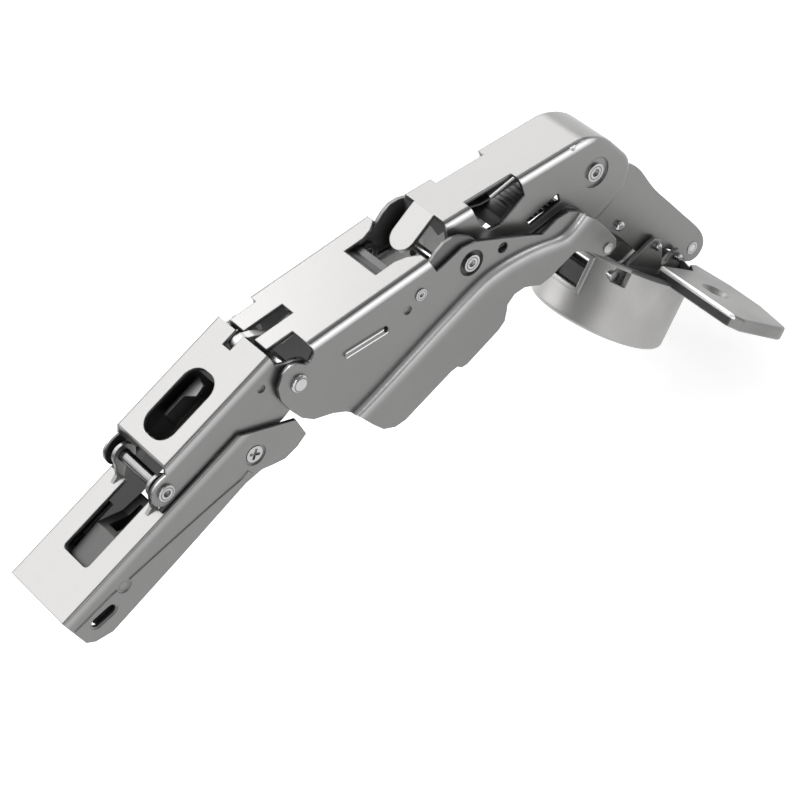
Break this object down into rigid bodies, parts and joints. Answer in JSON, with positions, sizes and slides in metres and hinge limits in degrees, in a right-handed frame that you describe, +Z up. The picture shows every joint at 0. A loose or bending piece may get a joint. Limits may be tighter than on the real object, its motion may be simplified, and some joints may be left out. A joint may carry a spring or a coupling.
{
  "type": "concealed cup hinge",
  "caption": "Wide-opening concealed cup hinge with a clip-on arm, folding sheet-metal links and a round cup with two screw wings.",
  "frame": {"origin": "on the middle plane, below the arm pin at the level of the lowest edge of the base channel, which is where the mounting plate holds it", "axes": "+X along the arm towards the cup, +Z up from the mounting plate, Y along every pivot pin"},
  "size_m": [0.1701, 0.0828, 0.1053],
  "materials": {
    "sheet": "nickel-plated pressed sheet, satin",
    "cup_metal": "nickel-plated drawn sheet, smooth satin",
    "lever_metal": "plated, satin",
    "pin": "polished rivets and screws",
    "spring_steel": "bare spring steel",
    "damper_plastic": "black moulded plastic"
  },
  "bodies": {
    "base": {"base_channel": "sheet", "release_pin": "sheet", "release_spring": "spring_steel"},
    "release": {"release_lever": "lever_metal"},
    "side_screw": {"cross_head_screw": "pin"},
    "arm": {"arm_channel": "sheet", "arm_pin": "pin", "adjuster_bracket": "sheet", "hook_pin": "pin"},
    "depth_screw": {"adjuster_screw": "pin"},
    "knuckle": {"outer_knuckle": "sheet", "knee_pin": "pin", "spring_plates": "sheet", "cross_rivets": "pin", "spring_pins": "pin", "closing_springs": "spring_steel", "arm_end_studs": "pin"},
    "link": {"inner_link": "sheet"},
    "scissor": {"scissor_link": "sheet", "tail_pin": "pin", "link_rivet": "pin"},
    "plates": {"cup_plate_near": "sheet", "cup_plate_far": "sheet", "plate_spacer": "pin"},
    "cup": {"cup_pin": "pin", "cup_shell": "cup_metal", "cup_axle": "pin", "cup_bracket": "cup_metal", "bracket_pins": "pin", "damper_housing": "damper_plastic", "damper_pin": "damper_plastic"}
  },
  "joints": [
    {"name": "release_press", "type": "hinge", "parent": "base", "child": "release", "pos_m": [-0.0206, 0, 0.0112], "axis": [0, -1, 0], "range_deg": [-10, 0], "stiffness_Nm_per_rad": 0.05, "springref_deg": 5.73},
    {"name": "arm_tilt", "type": "hinge", "parent": "base", "child": "arm", "pos_m": [0, 0, 0.0208], "axis": [0, -1, 0], "range_deg": [-1.5, 1.5]},
    {"name": "side_screw_turn", "type": "hinge", "parent": "base", "child": "side_screw", "pos_m": [0.0191, 0, 0.0086], "axis": [0, -1, 0], "range_deg": [-90, 90]},
    {"name": "depth_screw_turn", "type": "hinge", "parent": "arm", "child": "depth_screw", "pos_m": [0.0116, -0.0014, 0.0185], "axis": [0, 0, 1], "range_deg": [-180, 180]},
    {"name": "knuckle_fold", "type": "hinge", "parent": "arm", "child": "knuckle", "pos_m": [0.0365, 0, 0.0152], "axis": [0, -1, 0], "range_deg": [0, 40]},
    {"name": "scissor_fold", "type": "hinge", "parent": "knuckle", "child": "scissor", "pos_m": [0.0829, 0, -0.0005], "axis": [0, -1, 0], "range_deg": [0, 79.2]},
    {"name": "plates_fold", "type": "hinge", "parent": "scissor", "child": "plates", "pos_m": [0.1197, 0, -0.0159], "axis": [0, -1, 0], "range_deg": [-64.3, 0]},
    {"name": "cup_fold", "type": "hinge", "parent": "plates", "child": "cup", "pos_m": [0.1309, 0, -0.0663], "axis": [0, -1, 0], "range_deg": [0, 96.5]},
    {"name": "link_swing", "type": "hinge", "parent": "arm", "child": "link", "pos_m": [0.0343, 0, 0.0236], "axis": [0, -1, 0], "range_deg": [0, 35.88]}
  ],
  "couplings": [
    {"joint": "scissor_fold", "follows": "knuckle_fold", "ratio": 1.98},
    {"joint": "plates_fold", "follows": "knuckle_fold", "ratio": -1.6075},
    {"joint": "cup_fold", "follows": "knuckle_fold", "ratio": 2.4125},
    {"joint": "link_swing", "follows": "knuckle_fold", "ratio": 0.897}
  ]
}
